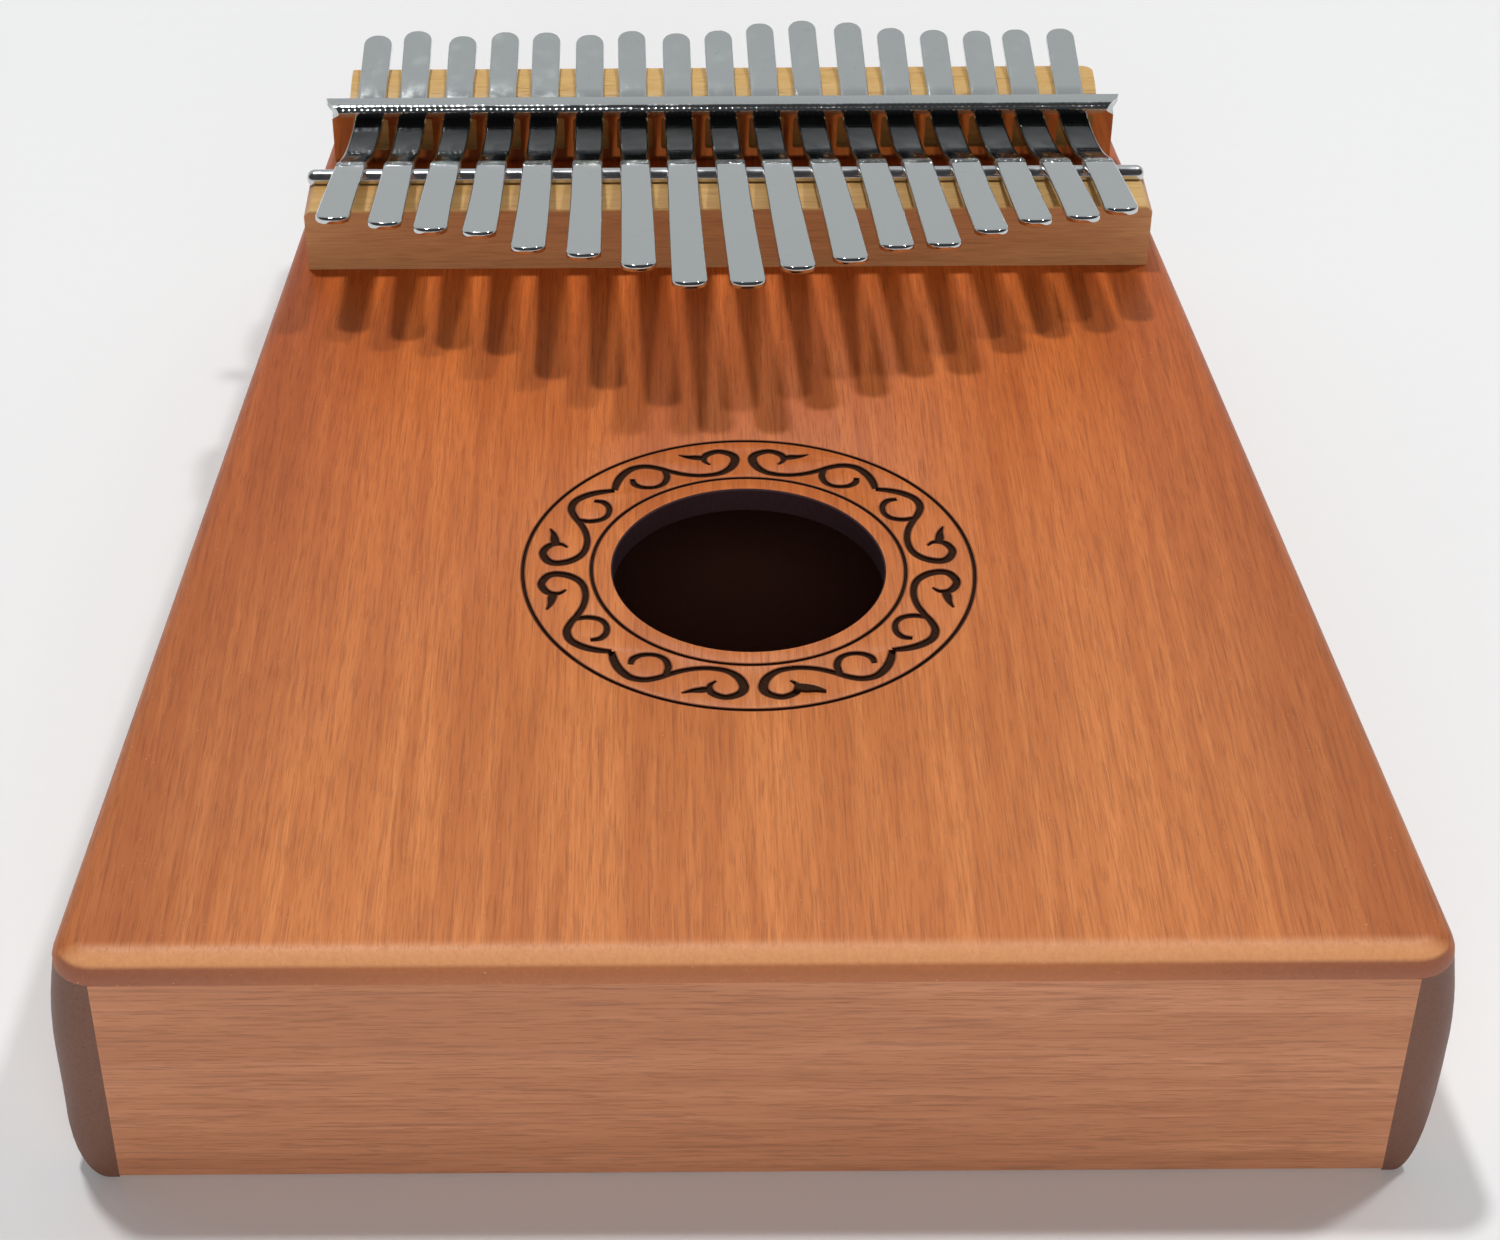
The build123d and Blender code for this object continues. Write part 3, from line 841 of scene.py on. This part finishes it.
def beaded_sheet(chrome):
    """The bent sheet before its windows are cut, with a groove and beads pressed along its bend."""
    section = sheet_section()
    last_station = 500
    end_margin = 0.01
    most_wander = 0.45
    chance = random.Random(41)
    wander = 0.0
    bend_y = bracket_low.y + bracket_bend + sheet_thickness
    bend_z = bracket_high.z - bracket_bend - sheet_thickness
    loops = []
    for station in range(last_station + 1):
        share = -1 + 2 * station / last_station
        loop = []
        across = share * (bracket_high.x - bracket_x)
        wander += chance.uniform(-most_wander, most_wander)
        swell = 0.5 + 0.5 * math.sin(2 * math.pi * across / bead_pitch + wander)
        dent_share = 0.55 + 0.45 * swell
        for y, z in section:
            turned = math.degrees(math.atan2(z - bend_z, bend_y - y))
            on_bend = y < bend_y and z > bend_z and abs(share) < 1 - end_margin
            groove = max(0.0, 1.0 - abs(turned - groove_angle) / groove_width)
            dent = groove_depth * groove * dent_share + bead_swell * swell if on_bend else 0.0
            lean = math.radians(turned)
            spot_y = y + dent * math.cos(lean)
            loop.append((bracket_x + share * lip_reach(y, z), spot_y, z - dent * math.sin(lean)))
        loops.append(loop)
    return make_object("pressed_bracket", *loft(loops), [chrome])


def window_outline(x):
    """The rounded outline of the window at x, as (x, z) points."""
    floor = bracket_low.z
    half = window_width / 2 - window_corner
    high = floor + window_high - window_corner
    low = floor + window_low + window_corner
    corner_centres = ((x + half, high, 0), (x - half, high, 90), (x - half, low, 180), (x + half, low, 270))
    outline = []
    for centre_x, centre_z, first in corner_centres:
        outline += arc((centre_x, centre_z), window_corner, first, first + 90, 4)
    return outline


def make_bracket(chrome):
    """The bracket: bent sheet with a window for each tine, beaded by the press along its bend."""
    bracket = beaded_sheet(chrome)
    points = []
    faces = []
    for index in range(tine_count):
        x = bracket_x + (index - (tine_count - 1) / 2) * tine_pitch
        outline = window_outline(x)
        near = [(across, bracket_low.y - 1, up) for across, up in outline]
        far = [(across, bracket_low.y + sheet_thickness + 1, up) for across, up in outline]
        more, skin = loft([near, far])
        faces += [tuple(corner + len(points) for corner in face) for face in skin]
        points += more
    cut(bracket, [make_object("window_cutter", points, faces, [chrome])])
    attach(bracket, "box")
    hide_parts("bracket")


# ======== tines ========

def middle_of(points):
    """Average of some points."""
    return sum(points, Vector()) / len(points)


def tine_line(number):
    """Where a tine lies, from its CAD nodes: the point over the rod, direction, and ends' distances."""
    tongue = mesh_points(f"tine_{number}_tongue")
    shank = mesh_points(f"tine_{number}_shank")
    tip_y = min(point.y for point in tongue)
    root_y = max(point.y for point in tongue)
    tip = middle_of([point for point in tongue if point.y < tip_y + 2 * tine_end_radius])
    root = middle_of([point for point in tongue if point.y > root_y - tine_end_radius])
    along = Vector((root.x - tip.x, root.y - tip.y, 0)).normalized()
    over_rod = tip + along * ((rod_centre.y - tip.y) / along.y)
    over_rod.z = 0
    near = min((point - over_rod).dot(along) for point in tongue)
    far = max((point - over_rod).dot(along) for point in shank)
    return over_rod, along, near, far


def profile_nodes(near, far):
    """The underside's bends, as (distance behind the rod, height, slope)."""
    reach = rod_radius + contact_clearance
    rise = math.atan(tongue_slope)
    fall = math.atan(shank_slope)
    climb = math.atan(tail_slope)
    bend = 0.7
    front = (
        reach * math.sin(rise) - bend,
        rod_centre.z + reach * math.cos(rise) + bend * tongue_slope,
    )
    behind = (
        reach * math.sin(fall) + bend,
        rod_centre.z + reach * math.cos(fall) - bend * shank_slope,
    )
    tip_height = front[1] + (front[0] - near) * tongue_slope
    window = (
        bracket_low.y + sheet_thickness / 2 - rod_centre.y,
        body_top + window_high - contact_clearance - tine_thickness,
    )
    crown = rear_crown_radius + contact_clearance
    crest = (
        rear_crest_y - crown * math.sin(climb) - rod_centre.y,
        rear_bridge_top - rear_crown_radius + crown * math.cos(climb),
    )
    tail_height = crest[1] + (far - crest[0]) * tail_slope
    return (
        (near, tip_height, -tongue_slope),
        (*front, -tongue_slope),
        (*behind, -shank_slope),
        (*window, window_slope),
        (*crest, tail_slope),
        (far, tail_height, tail_slope),
    )


def bent_profile(nodes, spacing=0.05):
    """Closely spaced (distance, height, slope, length so far) along the bent underside."""
    samples = []
    run = 0.0
    for (d0, h0, m0), (d1, h1, m1) in zip(nodes, nodes[1:]):
        reach = d1 - d0
        steps = max(2, int(reach / spacing))
        for step in range(steps + (d1 == nodes[-1][0])):
            t = step / steps
            height = (2 * t**3 - 3 * t**2 + 1) * h0 + (t**3 - 2 * t**2 + t) * m0 * reach
            height += (3 * t**2 - 2 * t**3) * h1 + (t**3 - t**2) * m1 * reach
            slope = (6 * t**2 - 6 * t) * (h0 - h1) / reach
            slope += (3 * t**2 - 4 * t + 1) * m0 + (3 * t**2 - 2 * t) * m1
            distance = d0 + reach * t
            if samples:
                run += math.hypot(distance - samples[-1][0], height - samples[-1][1])
            samples.append((distance, height, slope, run))
    return samples


def half_outline(length, half_tip, half_body, flare_length, inset):
    """One side of a tine seen from above, tip to tail, as (length along, half width), set in a little."""
    radius = max(tine_end_radius - inset, 0.01)
    offset = inset + radius
    spots = []
    corner_steps = 7
    for step in range(corner_steps + 1):
        angle = math.radians(90.0 * step / corner_steps)
        across = half_tip - offset + radius * math.sin(angle)
        spots.append((offset - radius * math.cos(angle), across))
    corner_gap = 0.4
    station_gap = 0.8
    body_start = offset + corner_gap
    body_end = length - offset - corner_gap
    stations = int((body_end - body_start) / station_gap)
    for step in range(stations + 1):
        at = body_start + (body_end - body_start) * step / stations
        flare = min(1.0, at / flare_length)
        spots.append((at, half_tip + (half_body - half_tip) * flare - inset))
    for step in range(corner_steps + 1):
        angle = math.radians(90.0 - 90.0 * step / corner_steps)
        across = half_body - offset + radius * math.sin(angle)
        spots.append((length - offset + radius * math.cos(angle), across))
    return spots


def tine_levels():
    """How the strip's edge is rounded, as (inset, height) from its underside to its top."""
    low = 0.16
    high = 0.38
    flat_margin = 0.1
    flank_gap = 0.08
    levels = [(low + flat_margin, 0.0), (low, 0.0), (low * 0.3, low * 0.3), (0.0, low)]
    levels.append((0.0, tine_thickness - high - flank_gap))
    steps = 5
    for step in range(steps + 1):
        angle = math.radians(90.0 * step / steps)
        inset = high * (1 - math.cos(angle))
        levels.append((inset, tine_thickness - high * (1 - math.sin(angle))))
    levels.append((high + flat_margin, tine_thickness))
    return levels


def make_tine(index, steel):
    """One tine from tip to tail: a rounded steel strip, slightly hand-bent."""
    number = f"{index + 1:02d}"
    chance = random.Random(100 + index)
    over_rod, along, near, far = tine_line(number)
    across = Vector((along.y, -along.x, 0))
    samples = bent_profile(profile_nodes(near, far))
    length = samples[-1][3]
    rod_run = next(run for distance, height, slope, run in samples if distance >= 0)
    bow = chance.uniform(-most_bow, most_bow)
    twist = math.radians(chance.uniform(-most_twist, most_twist))

    def place(run, side, lift):
        """A point of the flat strip, carried onto its bent line."""
        at = min(int(run / length * (len(samples) - 1)), len(samples) - 2)
        while samples[at + 1][3] < run and at < len(samples) - 2:
            at += 1
        while samples[at][3] > run and at > 0:
            at -= 1
        share = (run - samples[at][3]) / (samples[at + 1][3] - samples[at][3])
        distance, height, slope, _ = (a + (b - a) * share for a, b in zip(samples[at], samples[at + 1]))
        forward = Vector((1, slope)).normalized()
        toward_tip = max(0.0, (rod_run - run) / rod_run)
        side += bow * math.sin(math.pi * toward_tip)
        lift += side * math.tan(twist) * toward_tip
        spot = over_rod + along * (distance - forward.y * lift) + across * side
        spot.z = height + forward.x * lift
        return spot

    points = []
    rows = []
    for inset, lift in tine_levels():
        side = half_outline(length, tine_tip_width / 2, tine_width / 2, rod_run, inset)
        ring = [place(run, half, lift) for run, half in side]
        ring += [place(run, -half, lift) for run, half in reversed(side)]
        rows.append(range(len(points), len(points) + len(ring)))
        points += ring
    count = len(rows[0])
    faces = []
    for low, high in zip(rows, rows[1:]):
        for step in range(count):
            following = (step + 1) % count
            faces.append((low[step], low[following], high[following], high[step]))
    for row in (rows[0], rows[-1]):
        for step in range(count // 2 - 1):
            faces.append((row[step], row[step + 1], row[count - 2 - step], row[count - 1 - step]))
    tine = make_object(f"tine_{number}", points, faces, [steel])
    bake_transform(tine)
    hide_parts(f"tine_{number}_tongue", f"tine_{number}_shank")


# ======== put together ========

def dress(node, material):
    """Gives a CAD node its material."""
    part = frame["nodes"][node]
    part.data.materials.clear()
    part.data.materials.append(material)


def make_floor():
    """A wide pale floor."""
    half = 3000
    points = [(-half, -half, 0), (half, -half, 0), (half, half, 0), (-half, half, 0)]
    floor = make_object("floor", points, [(0, 1, 2, 3)], [floor_paint()])


make_camera()
make_world()
soft_light("light_left", azimuth=-35.0, elevation=73.0, spread=4.2, irradiance=1.22)
soft_light("light_right", azimuth=57.0, elevation=64.0, spread=4.2, irradiance=0.78)
soft_light("light_front", 180.0, 22.0, spread=50.0, irradiance=1.25, distance=1.0, mirrored=False)
make_floor()

make_top_plate(top_wood(), burnt_wood(), scorched_wood(), hole_wall())
make_bracket(plated("bracket_chrome", (0.60, 0.625, 0.63), 0.07, 0.003))
bent = (rod_centre.y + 0.45, 1.3, body_top, 0.34, 1.1, 0.8)
# the tines' stretch between rod and bracket, painted nearly black as a painted reflection
shaded = (rod_centre.y + 1.0, bracket_low.y + 0.4)
steel = plated("tine_steel", (0.62, 0.645, 0.65), 0.07, 0.003, bent, shaded)
for index in range(tine_count):
    make_tine(index, steel)

walls = side_wood()
dress("left_side", walls)
dress("right_side", walls)
ends = end_wood()
dress("near_end_wall", ends)
dress("far_end_wall", ends)
dress("back_plate", back_wood())
dress("bridge_support_block", inner_wood())
dress("front_bridge", stained_bridge_wood())
dress("rear_bridge", bridge_wood())
dress("front_bridge_rod", plated("rod_steel", (0.64, 0.65, 0.66), 0.18, 0.002))
dress("bracket_screws", screw_steel())

bpy.context.scene.view_settings.view_transform = "Standard"
